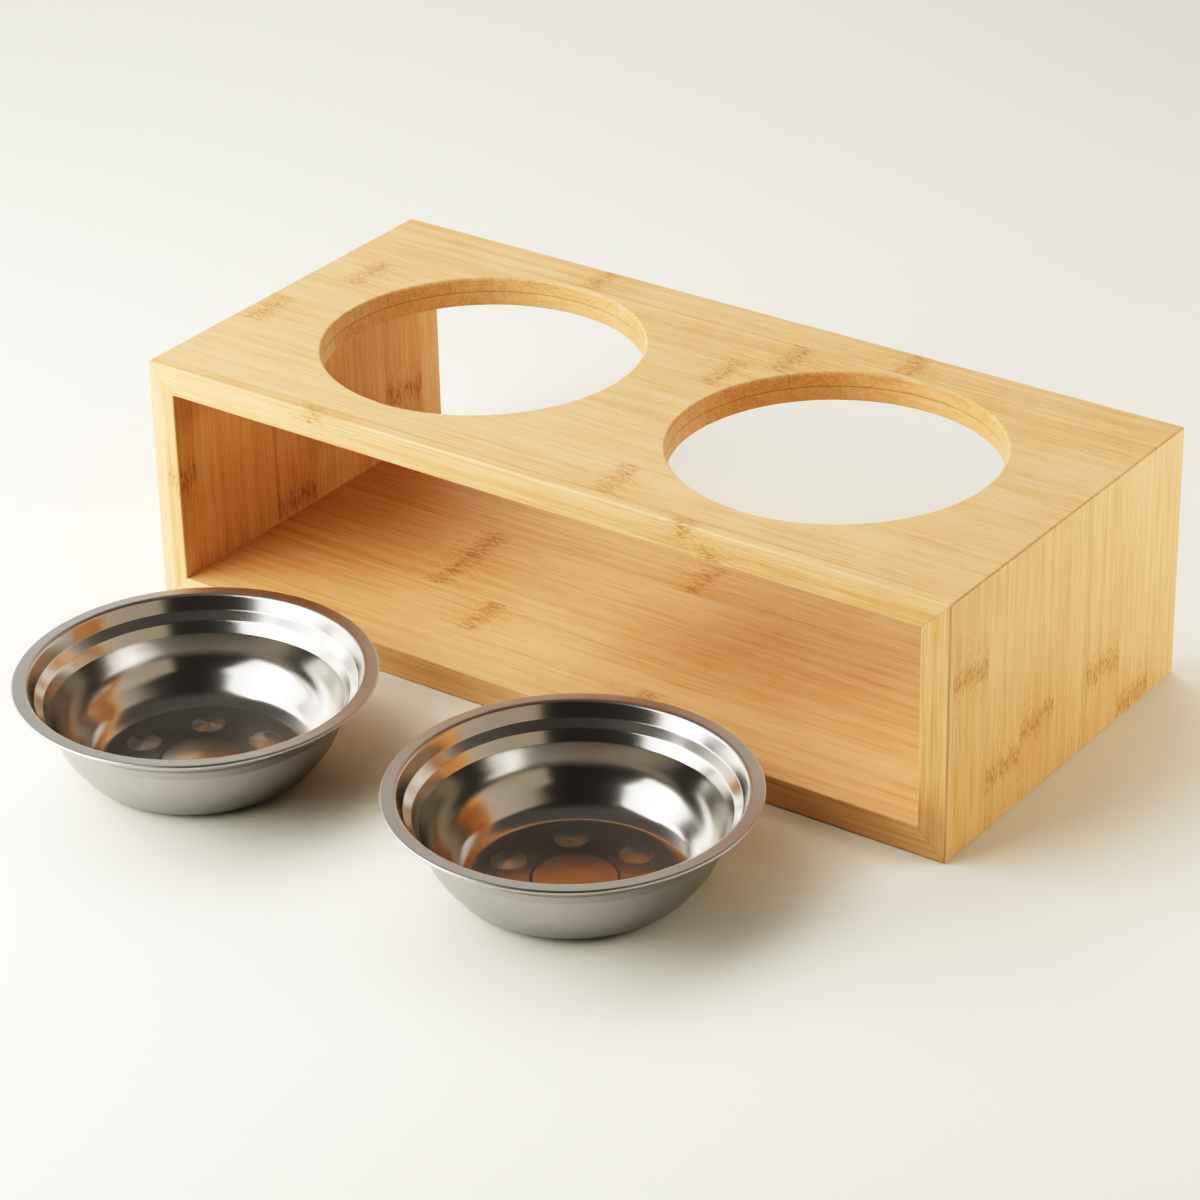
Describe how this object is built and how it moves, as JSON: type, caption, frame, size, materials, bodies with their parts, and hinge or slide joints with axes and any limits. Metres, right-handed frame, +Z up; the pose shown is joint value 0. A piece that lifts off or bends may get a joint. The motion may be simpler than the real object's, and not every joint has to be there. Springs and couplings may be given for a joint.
{
  "type": "double bowl stand",
  "caption": "Low mitred bamboo frame, open front and back, whose top holds removable steel feeding bowls in round holes; the bowls stand on the floor beside it.",
  "frame": {"origin": "centre of the stand's underside, on the surface it stands on", "axes": "+X along the stand to the right, +Y to its back, +Z up; the bowls stand in front, at -Y"},
  "size_m": [0.4, 0.3577, 0.115],
  "materials": {
    "bamboo": "satin lacquer over laminated bamboo strips",
    "dowel_wood": "bare",
    "steel": "polished inside, satin outside and on the rim"
  },
  "bodies": {
    "stand": {"top_board": "bamboo", "bottom_board": "bamboo", "left_side_board": "bamboo", "right_side_board": "bamboo", "top_left_dowels": "dowel_wood", "top_right_dowels": "dowel_wood", "bottom_left_dowels": "dowel_wood", "bottom_right_dowels": "dowel_wood"},
    "left_bowl": {"left_bowl": "steel"},
    "right_bowl": {"right_bowl": "steel"}
  },
  "joints": [
    {"name": "left_bowl_lift", "type": "slide", "parent": "stand", "child": "left_bowl", "axis": [0, 0, 1], "range_m": [0, 0.13]},
    {"name": "right_bowl_lift", "type": "slide", "parent": "stand", "child": "right_bowl", "axis": [0, 0, 1], "range_m": [0, 0.13]}
  ]
}
